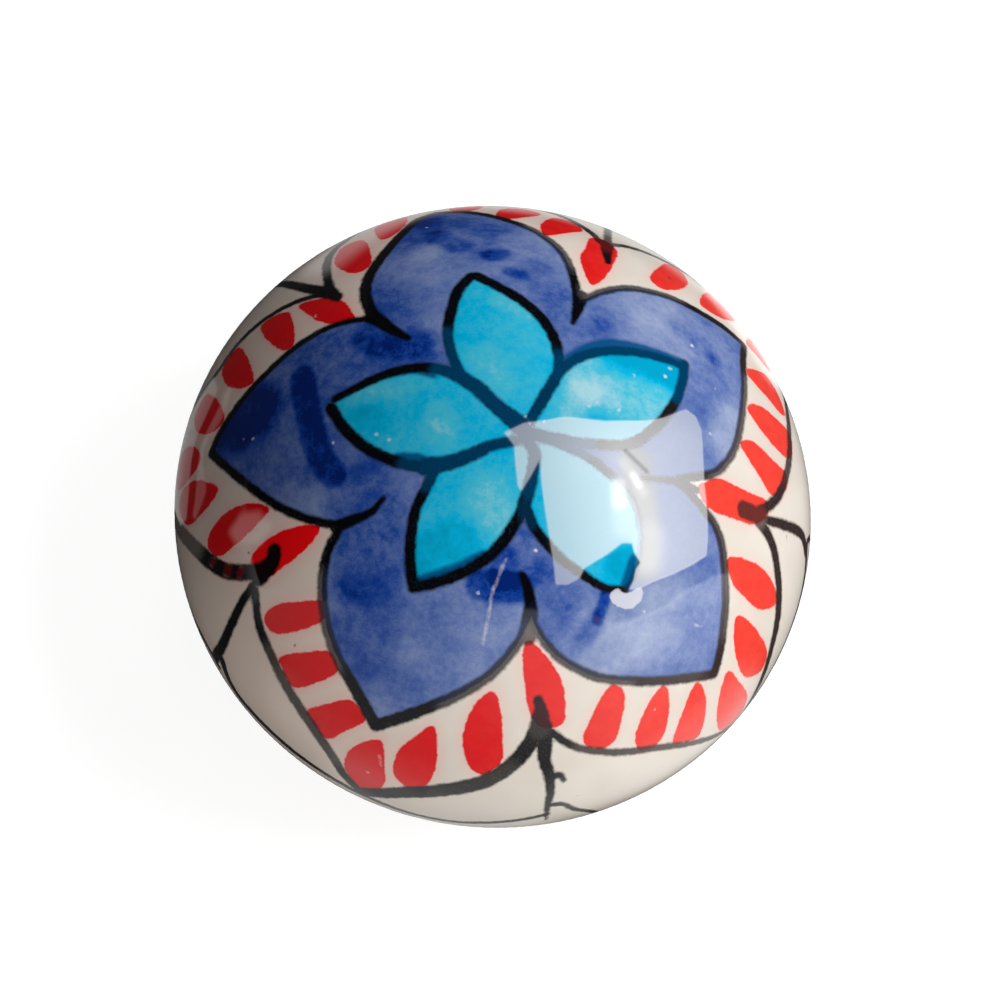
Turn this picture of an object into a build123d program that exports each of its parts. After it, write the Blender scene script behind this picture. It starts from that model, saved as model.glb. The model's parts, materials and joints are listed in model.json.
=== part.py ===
"""Round cabinet knob: a glazed ceramic head with a threaded brass insert set in its foot.

Millimetres. The origin is the centre of the foot, the flat face that bears on the door,
and +Z runs along the knob's axis, away from the door and out through the crown.
"""

import os
from math import atan2, degrees

from build123d import *

# Head: a flattened ball, round over the crown and under the side, and cut off flat at the foot
girth_diameter = 40.0  # the widest ring
girth_rounding = 9.8  # radius, in section, of the tighter curve at the girth
crown_rise = 15.6  # from the girth up to the crown
underside_drop = 15.6  # from the girth down to where the underside would close, past the foot
girth_height = 13.0  # from the foot up to the girth
foot_edge_radius = 0.5

# Insert: a turned bush, cemented into a blind socket in the foot
insert_diameter = 8.0
insert_length = 13.0
insert_recess = 0.3  # its mouth stays below the foot, so that only ceramic bears on the door
insert_end_chamfer = 0.4
cement_gap = 0.05  # all round the insert, between it and the socket's wall
socket_mouth_chamfer = 0.5

# Thread: M4, drawn as its tapping hole
thread_bore = 3.3
thread_lead_in = 0.4

# Key grooves round the insert, which the cement grips
groove_count = 2
groove_width = 1.2
groove_depth = 0.5

rounding_offset = girth_diameter / 2 - girth_rounding  # its centre, out from the axis
insert_radius = insert_diameter / 2
socket_depth = insert_recess + insert_length
groove_pitch = insert_length / (groove_count + 1)


def cap(reach):
    """Radius of the ball that reaches this far from the girth and runs smoothly into the
    girth's rounding, and the degrees from its pole to where it does."""
    radius = (rounding_offset**2 + reach**2 - girth_rounding**2) / (2 * (reach - girth_rounding))
    return radius, degrees(atan2(rounding_offset, radius - reach))


crown_radius, crown_sweep = cap(crown_rise)
underside_radius, underside_sweep = cap(underside_drop)

facing_door = Plane(origin=(0, 0, 0), x_dir=(1, 0, 0), z_dir=(0, 0, -1))

os.makedirs("parts", exist_ok=True)

# Glazed head, turned from its half outline
with BuildPart() as knob_head:
    with BuildSketch(Plane.XZ):
        with BuildLine():
            crown_top = (0, girth_height + crown_rise)
            crown = JernArc(crown_top, (1, 0), crown_radius, -crown_sweep)
            girth = JernArc(crown @ 1, crown % 1, girth_rounding, crown_sweep + underside_sweep - 180)
            underside = JernArc(girth @ 1, girth % 1, underside_radius, -underside_sweep)
            Line(underside @ 1, crown_top)
        make_face()
    revolve(axis=Axis.Z)
    split(bisect_by=Plane.XY, keep=Keep.TOP)
    with Locations(facing_door):
        Hole(insert_radius + cement_gap, socket_depth)
    foot_edges = knob_head.faces().sort_by(Axis.Z)[0].edges().sort_by(SortBy.RADIUS)
    chamfer(foot_edges[0], socket_mouth_chamfer)
    foot_edges = knob_head.faces().sort_by(Axis.Z)[0].edges().sort_by(SortBy.RADIUS)
    fillet(foot_edges[-1], foot_edge_radius)

knob_head.part.label = "knob_head"
export_step(knob_head.part, "parts/knob_head.step")

# Threaded insert, seated on the floor of the socket
with BuildPart() as threaded_insert:
    with BuildSketch(Plane.XY.offset(insert_recess)):
        Circle(insert_radius)
    extrude(amount=insert_length)
    chamfer(threaded_insert.edges().filter_by(GeomType.CIRCLE), insert_end_chamfer)
    with BuildSketch(Plane.XZ):
        for number in range(groove_count):
            with Locations((insert_radius, insert_recess + groove_pitch * (number + 1))):
                Rectangle(2 * groove_depth, groove_width)
    revolve(axis=Axis.Z, mode=Mode.SUBTRACT)
    with Locations(facing_door.offset(-insert_recess)):
        Hole(thread_bore / 2, insert_length)
    thread_mouth = threaded_insert.faces().sort_by(Axis.Z)[0].edges().sort_by(SortBy.RADIUS)[0]
    chamfer(thread_mouth, thread_lead_in)

threaded_insert.part.label = "threaded_insert"
export_step(threaded_insert.part, "parts/threaded_insert.step")
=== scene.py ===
"""Looks of the cabinet knob: its painted glaze, the thread in its insert, the stage and the light.

The frame is in metres. The painting is drawn on a flat chart of the dome, in millimetres: a point lies
as far from the chart's middle as its arc from the crown is long, with u towards +X and v towards +Y.
"""

import json
import math

import bpy
import numpy as np
from mathutils import Matrix, Vector


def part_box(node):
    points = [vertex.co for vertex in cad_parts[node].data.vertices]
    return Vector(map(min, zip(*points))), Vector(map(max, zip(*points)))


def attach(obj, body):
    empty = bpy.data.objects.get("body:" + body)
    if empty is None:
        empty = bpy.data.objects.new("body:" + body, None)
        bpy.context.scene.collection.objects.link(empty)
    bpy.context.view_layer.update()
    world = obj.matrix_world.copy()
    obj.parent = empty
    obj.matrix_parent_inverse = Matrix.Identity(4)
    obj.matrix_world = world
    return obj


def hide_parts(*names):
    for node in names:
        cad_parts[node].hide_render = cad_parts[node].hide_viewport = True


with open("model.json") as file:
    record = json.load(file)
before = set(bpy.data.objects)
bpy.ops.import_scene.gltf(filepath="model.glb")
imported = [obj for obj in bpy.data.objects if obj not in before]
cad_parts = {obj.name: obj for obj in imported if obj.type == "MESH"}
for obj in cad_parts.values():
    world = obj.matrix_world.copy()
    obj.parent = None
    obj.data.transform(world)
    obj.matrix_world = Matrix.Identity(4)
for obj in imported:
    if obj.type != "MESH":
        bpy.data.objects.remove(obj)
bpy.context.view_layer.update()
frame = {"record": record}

MM = 0.001
head_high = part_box("knob_head")[1] / MM
insert_low, insert_high = (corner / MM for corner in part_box("threaded_insert"))
screw_hole = frame["record"]["mounts"][0]

# Head, in millimetres
girth_radius = head_high.x
head_height = head_high.z
girth_height = 13.0
girth_rounding = 9.8
underside_drop = 15.6
foot_edge_radius = 0.5
cement_gap = 0.05
socket_radius = insert_high.x + cement_gap
socket_depth = insert_high.z
socket_mouth_chamfer = 0.5
crown_rise = head_height - girth_height
rounding_offset = girth_radius - girth_rounding

# Insert and its thread, in millimetres
insert_radius = insert_high.x
insert_chamfer = 0.4
groove_count = 2
groove_width = 1.2
groove_depth = 0.5
thread_pitch = 0.7
thread_core = screw_hole["dims"]["r_mm"]
thread_crest = 2.0
thread_flat = 0.0875  # in pitches, at the core; the flat at the crest is twice as wide
thread_lead_in = 0.4

# Meshes: edges in millimetres, fine as far as the painting goes and coarser past it, and counts
paint_end = 31.0
paint_edge = 0.18
plain_edge = 0.7
edge_growth = 1.3
socket_segments = 96
insert_segments = 72
rings_per_pitch = 12

# Camera, fitted to the silhouette and the painted tips
camera_distance = 300.0
camera_tilt = math.radians(18.73)
camera_roll = math.radians(16.74)
girth_scale = 318.73 / girth_radius
girth_pixel = (493.6, 513.6)
picture_size = 1000
sensor_width = 36.0


# The head's section


def cap(reach):
    """Radius of the ball that reaches this far from the girth, and the angle where its rounding starts."""
    radius = (rounding_offset**2 + reach**2 - girth_rounding**2) / (2 * (reach - girth_rounding))
    return radius, math.atan2(rounding_offset, radius - reach)


def arc_points(centre, radius, start, end, count=1500):
    """Points on an arc of the section, by the angle from +Z."""
    angle = np.linspace(start, end, count)
    return np.stack([centre[0] + radius * np.sin(angle), centre[1] + radius * np.cos(angle), angle], 1)


def head_outline():
    """Arc length, radius, height and slope from the crown round to the edge of the foot."""
    crown_radius, crown_sweep = cap(crown_rise)
    under_radius, under_sweep = cap(underside_drop)
    under_centre = girth_height + under_radius - underside_drop
    edge_height = foot_edge_radius
    edge_offset = math.sqrt((under_radius - edge_height) ** 2 - (under_centre - edge_height) ** 2)
    edge_start = math.pi - math.atan2(edge_offset, under_centre - edge_height)
    points = np.concatenate([
        arc_points((0, head_height - crown_radius), crown_radius, 0, crown_sweep),
        arc_points((rounding_offset, girth_height), girth_rounding, crown_sweep, math.pi - under_sweep)[1:],
        arc_points((0, under_centre), under_radius, math.pi - under_sweep, edge_start)[1:],
        arc_points((edge_offset, edge_height), edge_height, edge_start, math.pi)[1:],
    ])
    steps = np.hypot(np.diff(points[:, 0]), np.diff(points[:, 1]))
    return np.r_[0, np.cumsum(steps)], points[:, 0], points[:, 1], points[:, 2]


outline_arc, *outline_columns = head_outline()


def section(arc):
    """Radius, height and slope of the head at this arc from its crown."""
    return [np.interp(arc, outline_arc, column) for column in outline_columns]


def on_dome(u, v):
    """Point and normal on the head at a place of the chart, in millimetres."""
    radius, height, slope = section(np.hypot(u, v))
    bearing = np.arctan2(v, u)
    point = np.array([radius * np.cos(bearing), radius * np.sin(bearing), height])
    normal = np.array([np.sin(slope) * np.cos(bearing), np.sin(slope) * np.sin(bearing), np.cos(slope)])
    return point, normal


# Objects, and meshes turned from rings


def add_object(name, data):
    made = bpy.data.objects.new(name, data)
    bpy.context.scene.collection.objects.link(made)
    return made


def add_mesh(name, points, faces):
    """Object with a mesh of these points, in millimetres."""
    mesh = bpy.data.meshes.new(name)
    mesh.from_pydata(points * MM, [], faces)
    return add_object(name, mesh)


def stitch(first, second):
    """Triangles between two rings of vertex numbers that need not have as many vertices."""
    faces = []
    i = j = 0
    while i < len(first) or j < len(second):
        here, there = first[i % len(first)], second[j % len(second)]
        if j == len(second) or (i < len(first) and (i + 1) * len(second) <= (j + 1) * len(first)):
            i += 1
            faces.append((here, there, first[i % len(first)]))
        else:
            j += 1
            faces.append((here, there, second[j % len(second)]))
    return [face for face in faces if len(set(face)) == 3]


def turned(name, rings, closed=False):
    """Object turned about Z from rings of (radius, height, vertex count, sharp), in millimetres.

    The radius may be a function of the bearing. A ring of one vertex closes the mesh at the axis.
    """
    points, faces, numbers = [], [], []
    sharp_ring, ring_of = [], []
    for index, (radius, height, count, sharp) in enumerate(rings):
        bearing = 2 * np.pi * np.arange(count) / count
        reach = radius(bearing) if callable(radius) else np.full(count, radius)
        numbers.append(range(len(ring_of), len(ring_of) + count))
        ring = [reach * np.cos(bearing), reach * np.sin(bearing), np.full(count, height)]
        points.append(np.stack(ring, 1))
        ring_of += [index] * count
        sharp_ring.append(sharp)
    for first, second in zip(numbers, numbers[1:]):
        faces += stitch(first, second)
    if closed:
        faces += stitch(numbers[-1], numbers[0])
    piece = add_mesh(name, np.concatenate(points), faces)
    mesh = piece.data
    mesh.polygons.foreach_set("use_smooth", np.ones(len(faces), bool))
    ends = np.zeros(2 * len(mesh.edges), int)
    mesh.edges.foreach_get("vertices", ends)
    rows = np.array(ring_of)[ends.reshape(-1, 2)]
    sharp = (rows[:, 0] == rows[:, 1]) & np.array(sharp_ring)[rows[:, 0]]
    mesh.edges.foreach_set("use_edge_sharp", sharp)
    return piece


def head_rings():
    """Rings of the head from the crown to the floor of the socket."""
    rings = [(0, head_height, 1, False)]
    arc, edge = 0.0, paint_edge
    end = outline_arc[-1]
    while arc < end:
        if arc > paint_end:
            edge = min(edge * edge_growth, plain_edge)
        arc = min(arc + edge * math.sqrt(3) / 2, end)
        if end - arc < paint_edge:
            arc = end
        radius, height, _ = section(arc)
        rings.append((radius, height, max(6, round(2 * math.pi * radius / edge)), False))
    mouth = socket_radius + socket_mouth_chamfer
    rings += [
        (mouth, 0, socket_segments, True),
        (socket_radius, socket_mouth_chamfer, socket_segments, True),
        (socket_radius, socket_depth, socket_segments, True),
        (0, socket_depth, 1, False),
    ]
    return rings


def insert_rings():
    """Rings of the insert: over its top, down its side with the key grooves, and up its thread."""
    low, high = insert_low.z, insert_high.z
    side = [(insert_radius - insert_chamfer, high), (insert_radius, high - insert_chamfer)]
    for number in range(groove_count, 0, -1):
        middle = low + (high - low) * number / (groove_count + 1)
        top, bottom = middle + groove_width / 2, middle - groove_width / 2
        floor = insert_radius - groove_depth
        side += [(insert_radius, top), (floor, top), (floor, bottom), (insert_radius, bottom)]
    side += [(insert_radius, low + insert_chamfer), (insert_radius - insert_chamfer, low)]
    side.append((thread_core + thread_lead_in, low))
    rings = [(thread_core, high, insert_segments, True)]
    rings += [(radius, height, insert_segments, True) for radius, height in side]
    step = thread_pitch / rings_per_pitch
    for height in np.arange(low + step, high - step / 2, step):
        mouth = thread_core + max(0, thread_lead_in - (height - low))
        fade = min(1, (high - height) / thread_pitch)

        def radius(bearing, height=height, mouth=mouth, fade=fade):
            turn = (height / thread_pitch - bearing / (2 * np.pi)) % 1.0
            flank = 1 - np.abs(2 * turn - 1)
            shape = np.clip((flank - thread_flat) / (1 - 3 * thread_flat), 0, 1)
            return np.maximum(mouth, thread_core + fade * (thread_crest - thread_core) * shape)

        rings.append((radius, height, insert_segments, False))
    return rings


# The painting, in the chart's millimetres. A stroke is its points, then its width at each end.

# Sides of the petals, clockwise from the cleft between the west and north ones, to a tip or from it
petal_sides = [
    ([(-11.1, 6.2), (-12.2, 7.9), (-12.65, 9.9), (-12.4, 12.6), (-11.95, 15.8), (-11.6, 18), (-10.6, 19.4)],
     0.9, 0.8),
    ([(-10.6, 19.4), (-8.8, 19.6), (-7.1, 19.2), (-5, 18.4), (-3, 17.4), (-1.2, 15.9), (-0.2, 14.5),
      (0.6, 12.6), (1.15, 11)], 0.75, 0.65),
    ([(1.45, 10.8), (2.2, 11.85), (3.6, 13.3), (5.1, 14.25), (7.4, 15.1), (10, 15.5), (12.2, 15.75),
      (14, 15.6)], 0.6, 0.75),
    ([(14, 15.6), (13.85, 13.2), (14.05, 11), (14.15, 8.5), (14.1, 5.9), (13.75, 4.35), (13.05, 2.95),
      (12.1, 2.1), (11.1, 1.45), (10.5, 1.05)], 0.7, 0.6),
    ([(10.5, 0.85), (11.3, 0.7), (12.1, 0.4), (13, 0), (13.9, -0.45), (14.8, -1.25), (15.7, -2.6),
      (16.6, -4.3), (17.3, -6), (17.95, -7.8), (18.3, -9.35)], 0.6, 0.8),
    ([(18.3, -9.35), (16.4, -10.3), (14, -11.35), (11.3, -12.2), (9.3, -12.55), (7, -12.25), (5.3, -11.45),
      (4.2, -10.5)], 0.75, 0.6),
    ([(4.1, -10.3), (3.9, -11.8), (3.3, -13.6), (2.4, -15.1), (0.8, -16.8), (-1.4, -18.6), (-3.65, -20.2)],
     0.65, 0.95),
    ([(-3.65, -20.2), (-5.6, -18.1), (-7.4, -16.2), (-8.6, -14.2), (-9.35, -12), (-9.5, -10), (-9.1, -8.4)],
     0.95, 0.65),
    ([(-9.2, -8.15), (-11.2, -8.1), (-13.2, -7.75), (-15.2, -7.05), (-17.4, -6.05), (-19.3, -5.05),
      (-20.85, -4.2)], 0.6, 0.7),
    ([(-20.85, -4.2), (-20.4, -2.6), (-19.2, -0.35), (-17.7, 1.65), (-16.1, 3.55), (-14.4, 4.95),
      (-12.8, 5.65), (-11.1, 6)], 0.65, 0.5),
]

# Tails of ink that run in from the clefts and thin out
cleft_tails = [
    ([(-11.1, 6.1), (-10.3, 5.7), (-9.4, 5.15), (-8.3, 4.7)], 1.2, 0.5),
    ([(1.3, 11.2), (1.35, 9.9), (1.3, 8.7)], 1.15, 0.4),
    ([(11.9, 1), (10.6, 0.95), (9.3, 0.5), (8.1, 0.1)], 0.65, 0.35),
    ([(4.25, -11.5), (3.9, -9.9), (3.3, -8.7), (2.75, -8.1)], 1.25, 0.5),
    ([(-9.3, -8.25), (-8.4, -7.65), (-7.3, -6.9), (-6.75, -5.9)], 0.9, 0.35),
]

# Leaves round the hub, each with one stroke to its tip and one back
leaves = [
    (([(-0.1, 0.4), (-1.9, 1.35), (-3.4, 2.2), (-4.9, 2.75), (-6.6, 2.77), (-8.2, 2.25), (-9.9, 1.2),
       (-11.7, -0.2)], 0.95, 0.6),
     ([(-11.8, -0.8), (-10.4, -2.1), (-8.6, -3.1), (-6.7, -3.55), (-4.9, -3.5), (-3.1, -2.65),
       (-1.5, -1.35), (0, -0.5)], 0.8, 0.75)),
    (([(-4.4, 2.9), (-5.3, 4.1), (-5.9, 5.5), (-6.2, 7.3), (-6.2, 9.2), (-5.75, 10.6)], 0.7, 0.8),
     ([(-5.5, 10.7), (-3.75, 10), (-1.9, 9.15), (-0.4, 8.05), (0.7, 6.6), (1.25, 4.85), (1, 3.1),
       (0.45, 0.85)], 0.8, 0.7)),
    (([(0.55, 1.2), (1, 3.4), (1.45, 5), (2.45, 6.4), (3.9, 7.5), (5.7, 8.3), (7.3, 8.75), (8.95, 9.05)],
      0.75, 0.65),
     ([(9.05, 9.3), (9.15, 8), (9, 6.3), (8.65, 5), (7.95, 3.45), (6.7, 1.8), (4.2, 0.8), (2.2, 0.45),
       (0.6, 0.3)], 0.75, 0.7)),
    (([(0.4, 0.2), (2.4, 0.2), (4, 0.05), (5, -0.15), (6.1, -0.55), (7.2, -1), (8.1, -1.65), (8.75, -2.6),
       (9.2, -3.6), (9.45, -4.8), (9.5, -6), (9.3, -6.8)], 0.75, 0.35),
     ([(9.3, -6.8), (7.9, -7.15), (6.4, -6.9), (4.8, -6.45), (3.4, -5.75), (2.4, -5), (1.6, -4)], 0.5,
      0.75)),
    (([(-4.1, -3.2), (-4.3, -4.5), (-4.6, -6.05), (-4.5, -7.5), (-4.1, -9.2), (-3.45, -10.7)], 0.7, 0.75),
     ([(-3.45, -10.7), (-2.2, -10.05), (-0.9, -9.15), (0.4, -7.75), (1.15, -6.2), (1.6, -4.2), (1.55, -2.5),
       (1.3, -0.9), (0.3, 0)], 0.75, 0.8)),
]

# Heavier ink where two leaves share a line
shared_lines = [
    ([(-4.7, 2.75), (-3.1, 2.15), (-1.5, 1.25), (0.1, 0.7)], 1.0, 0.9),
    ([(-4.8, -3.5), (-3.2, -2.75), (-1.7, -1.6)], 1.15, 0.8),
    ([(1.6, -4), (1.6, -2.5)], 0.9, 0.8),
]

# Scalloped border, its cusps and the lines that run from them
border = [
    ([(16, 1.65), (17, 2.05), (17.9, 2.9), (18.9, 4.5), (19.4, 6.5), (19.55, 8.7), (19.35, 11),
      (19.2, 13.2), (19.2, 16), (18.4, 20.4)], 0.85, 0.55),
    ([(17.4, 1.6), (18.6, 1.3), (19.6, 0.7), (20.6, -0.3), (21.6, -1.6), (22.6, -3.4), (23.5, -5.7),
      (24.5, -8), (25.2, -10.3), (25.3, -11.9)], 0.85, 0.8),
    ([(25.3, -11.9), (22.7, -13.35), (20.2, -14.4), (16.9, -15.6), (13.7, -16.9), (11, -17.45),
      (9.5, -17.4), (8.1, -17)], 0.6, 0.6),
    ([(6.9, -16.2), (7.05, -17.3), (6.8, -19), (6.1, -20.6), (4.65, -22.3), (2.1, -23.9), (-0.3, -25.1),
      (-2.3, -26.3), (-3.9, -27.2)], 1.15, 1.35),
    ([(-3.9, -27.2), (-5.3, -25.8), (-6.6, -23.8), (-8.5, -21.7), (-10.7, -19.5), (-12.3, -17.5),
      (-13.6, -15.7), (-14.4, -13.3)], 1.0, 0.7),
    ([(-14.4, -12), (-15.6, -12.3), (-17.1, -12.4), (-18.8, -12), (-21.1, -11), (-23.6, -9.9),
      (-25.6, -8.9), (-27, -6.6)], 1.15, 1.3),
    ([(-27, -6.6), (-26.3, -2), (-24.9, 0.9), (-23.2, 2.8), (-22.2, 4.7), (-20.8, 6.35), (-19, 7.5),
      (-17.2, 8.15), (-15.6, 8.3), (-14.2, 7.8)], 0.5, 0.6),
    ([(-14.3, 8), (-15.3, 9), (-16.2, 10.6), (-16.9, 12.3), (-17.2, 13.9), (-16.8, 16), (-15.4, 19.8),
      (-13.1, 24.2)], 0.75, 0.7),
    ([(-13.1, 24.2), (-8.8, 24.2), (-4.8, 23.5), (-1.7, 22.2), (0, 20.8), (1, 19.7), (1.75, 18.6)], 0.6,
     0.7),
    ([(2.55, 18.9), (3.6, 19.75), (5.2, 20.5), (8, 21.1), (12.5, 21.4), (18.4, 20.4)], 0.55, 0.5),
]
cusps = [
    ([(15.95, 1.65), (17.3, 1.95)], 1.3, 1.2),
    ([(6.4, -15.2), (7, -16.1), (7.6, -17.2)], 0.7, 1.4),
    ([(-13.3, -10.5), (-13.4, -11.3), (-14.2, -12.3)], 1.1, 1.5),
    ([(-14.2, 7.8), (-15.6, 8.45)], 0.5, 0.9),
    ([(2.5, 15.9), (2.3, 17.3), (2.15, 18.9)], 0.5, 1.2),
]
cusp_lines = [
    ([(17.8, 2), (18.8, 2.3), (19.9, 2.75), (21.5, 3.35), (23, 3.6), (24.2, 3)], 0.7, 0.95),
    ([(7.75, -17.2), (8.4, -18.9), (9.4, -20.2), (10.2, -21.7), (10.8, -23.3), (11.7, -24.9)], 1.2, 0.3),
    ([(9.4, -20.3), (10.1, -19.9), (10.6, -20.2)], 0.8, 0.4),
    ([(-14.6, -13), (-15.4, -14.4), (-16.2, -16.1), (-17.2, -17.9), (-18.7, -19.4)], 0.65, 1.1),
    ([(-19.9, -18.95), (-19.3, -19.5), (-18.6, -20.3)], 0.5, 0.6),
    ([(-15.2, 8.5), (-17, 9.2), (-18.9, 10.2), (-21.7, 11.85), (-24, 13.2)], 1.0, 0.6),
    ([(2.2, 18.7), (2.15, 20.5), (2.1, 22.3), (2, 25)], 0.7, 0.55),
]

# Arches round the girth from one line's end to the next
girth_arches = [
    ([(-17.6, -19.3), (-17.3, -20.9), (-16.4, -22.4), (-14.2, -23.8), (-11.5, -25.2), (-8.8, -26.3),
      (-4.5, -27.6), (0, -28.3), (4, -27.9), (7.4, -26.5), (9.9, -25), (11.2, -23.9)], 0.85, 0.5),
    ([(10.8, -22.7), (11.8, -22.4), (13, -22.8), (15, -23.1), (17.8, -23.4), (21.8, -18.9), (24.4, -13.6),
      (25.9, -8.8), (26.3, -4), (25.8, 0.5), (24.2, 3.5)], 0.5, 0.7),
    ([(24.2, 4), (26.6, 7.2), (25.6, 12.4), (20.5, 19.4), (12.5, 25.4), (6, 27.1), (2.2, 25.2)], 0.55,
     0.55),
    ([(1.8, 25.2), (-3, 27.6), (-10.5, 26.4), (-18, 21.5), (-22.8, 16.2), (-24.1, 13.4)], 0.55, 0.55),
    ([(-24.2, 13), (-27.4, 8.2), (-28.4, 0), (-26.8, -9), (-23.6, -15.4), (-19.8, -19.1)], 0.55, 0.6),
]

# Red dabs between the petals and the border
red_dabs = [
    [(-17.3, 7.6), (-16, 7.95), (-14.4, 7.9), (-13.1, 7), (-12.1, 5.5), (-13.3, 5.4), (-14.9, 5.75),
     (-16.5, 6.8)],
    [(-20.2, 6.3), (-19.3, 6.95), (-18, 7.05), (-17, 5.8), (-16.2, 3.9), (-16.9, 3.45), (-18.6, 4.4),
     (-19.8, 5.6)],
    [(-22.6, 3.4), (-21.7, 4.6), (-20.4, 3.6), (-19.3, 2.3), (-18.6, 1.1), (-19.6, 0.65), (-21.2, 1.1),
     (-22.4, 2.3)],
    [(-24.6, -0.3), (-23.7, 0.9), (-22.2, 0.3), (-20.9, -0.8), (-20.4, -1.8), (-21.4, -2.65), (-23.1, -2.4),
     (-24.3, -1.3)],
    [(-21.9, -4.7), (-22.8, -3.6), (-24.6, -3.35), (-26.2, -4), (-26.3, -5.8), (-24.8, -6.7), (-22.9, -6)],
    [(-19.2, -6.9), (-20.6, -6.3), (-22.4, -6.2), (-24, -7), (-24, -8.4), (-22.2, -9.5), (-20.6, -8.7)],
    [(-14.4, -7.8), (-16.2, -7.65), (-18, -8.4), (-19.3, -9.8), (-19.3, -11), (-18, -11.5), (-16.5, -10.4),
     (-15.1, -9)],
    [(-15.1, -11.3), (-14.1, -9.9), (-12.4, -8.8), (-10.4, -8.4), (-10.9, -9.8), (-12.4, -11.4),
     (-13.9, -12.5)],
    [(-15.2, -12), (-16.8, -12), (-18.6, -11.7), (-18.9, -12.1), (-17.2, -12.7), (-15.4, -12.6)],
    [(-13.3, -15), (-12.4, -13.9), (-10.6, -13.3), (-8.8, -12.95), (-8.6, -13.9), (-10.1, -15.1),
     (-12.3, -15.9)],
    [(-11.6, -17.4), (-9.8, -16.6), (-7.9, -16.1), (-7.1, -17.2), (-8.4, -18.4), (-10.2, -19.3),
     (-11.3, -18.2)],
    [(-8.9, -20.7), (-7.4, -19.7), (-5.7, -18.95), (-4.4, -19.95), (-5.8, -21.4), (-7.1, -22.5),
     (-8.3, -21.6)],
    [(-3.1, -21.2), (-2.4, -22.9), (-2.1, -25), (-3.2, -26.7), (-4.7, -26), (-5.5, -24.2), (-4.9, -22.3)],
    [(0.2, -19), (0.9, -20.2), (1.3, -22.3), (0.9, -24), (-0.3, -24.5), (-1.6, -23.5), (-1.65, -21.6),
     (-0.7, -20)],
    [(3.3, -15.5), (4.2, -16.5), (5, -18.3), (5.6, -20.1), (4.6, -21.5), (3.3, -20.9), (2.35, -19),
     (2.45, -16.7)],
    [(4.4, -11.7), (5.8, -12.3), (7.3, -13.4), (8.3, -15), (8.6, -16.2), (7.4, -16.9), (6.1, -16.1),
     (5, -14.2), (4.3, -12.6)],
    [(10.95, -12.6), (11.9, -12.9), (12.6, -14.6), (12.8, -16.4), (11.7, -17.2), (10.5, -16.9),
     (10.35, -15), (10.5, -13.4)],
    [(14.7, -11.45), (15.7, -12.5), (16.5, -14.5), (16.2, -15.8), (15.1, -16.3), (14.2, -15.4), (14, -13.8),
     (14.15, -12.2)],
    [(17.2, -10.35), (18.5, -11), (19.5, -12.5), (20, -14), (18.8, -14.7), (17.7, -15), (17.2, -13.3),
     (16.95, -11.2)],
    [(19.5, -8.7), (21.4, -9), (23.5, -9.6), (24.8, -11.2), (24, -12.5), (22.2, -12.85), (20.6, -11.9),
     (19.7, -10.4)],
    [(18.15, -5.15), (19.3, -4.9), (21.4, -5.3), (23.1, -6), (23.4, -7.4), (21.5, -8.45), (19.8, -7.7),
     (18.6, -6.4)],
    [(15.7, -2), (17.4, -1.3), (19.4, -1.15), (21.1, -1.7), (21.7, -2.7), (20.2, -3.75), (18.3, -3.7),
     (16.6, -3.2)],
    [(11.9, 1.3), (12.5, 1.95), (13.4, 2.6), (15.6, 2.95), (18, 3.4), (18.1, 2.2), (17, 1.1), (15.2, 0.6),
     (13.4, 0.3), (12.5, 0.6)],
    [(14.4, 6.1), (15.6, 6.85), (17.6, 6.75), (19.4, 6.65), (19.5, 5.2), (18.2, 4.05), (16.4, 4.75),
     (14.8, 5.55)],
    [(14.5, 9.2), (15.6, 10.25), (17.6, 10.6), (19.4, 10.6), (19.9, 9.2), (19.2, 8), (17.2, 7.95),
     (15.4, 8.5)],
    [(14.2, 12.8), (15.2, 13.7), (16.6, 14.35), (17.9, 13.6), (18.8, 12.2), (18.2, 11.6), (16.4, 11.8),
     (14.6, 12.15)],
    [(14.3, 16.3), (15.3, 18.2), (16.8, 17.8), (17.6, 16.4), (16.8, 15.6), (15.3, 15.85)],
    [(9.8, 16.7), (10.2, 18.8), (11.3, 20.7), (12.9, 20.3), (13.4, 18.8), (12.4, 17.3), (11, 16.55)],
    [(6.1, 15.7), (5.6, 16.4), (6.2, 18.5), (7, 20.5), (8.2, 20.8), (8.8, 19.1), (8.2, 17.2), (7, 15.8)],
    [(1.7, 12.7), (2.5, 13.7), (2.9, 15.8), (3.05, 17.9), (2.2, 19.2), (1, 18.9), (0.75, 16.8), (0.65, 15)],
    [(-2.7, 19), (-2, 21), (-0.8, 21.1), (0.3, 19.8), (-0.5, 18.6), (-1.9, 17.1), (-2.5, 17.6)],
    [(-6.1, 19.2), (-5.9, 21.2), (-4.4, 22), (-3, 21.2), (-4.2, 19.4), (-5.4, 18.5)],
    [(-9.8, 20.1), (-8.2, 19.9), (-7.5, 21.2), (-8.4, 22.8), (-9.9, 22.3)],
    [(-13.3, 14.6), (-12.5, 15.4), (-12.35, 17.4), (-13.1, 19.3), (-14.5, 19.3), (-14.9, 17.4),
     (-14.2, 15.7)],
    [(-13.9, 10.35), (-13, 11.1), (-13.6, 12.9), (-15.1, 15.1), (-16.5, 14.5), (-16.3, 12.3), (-15.2, 11)],
]

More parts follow.
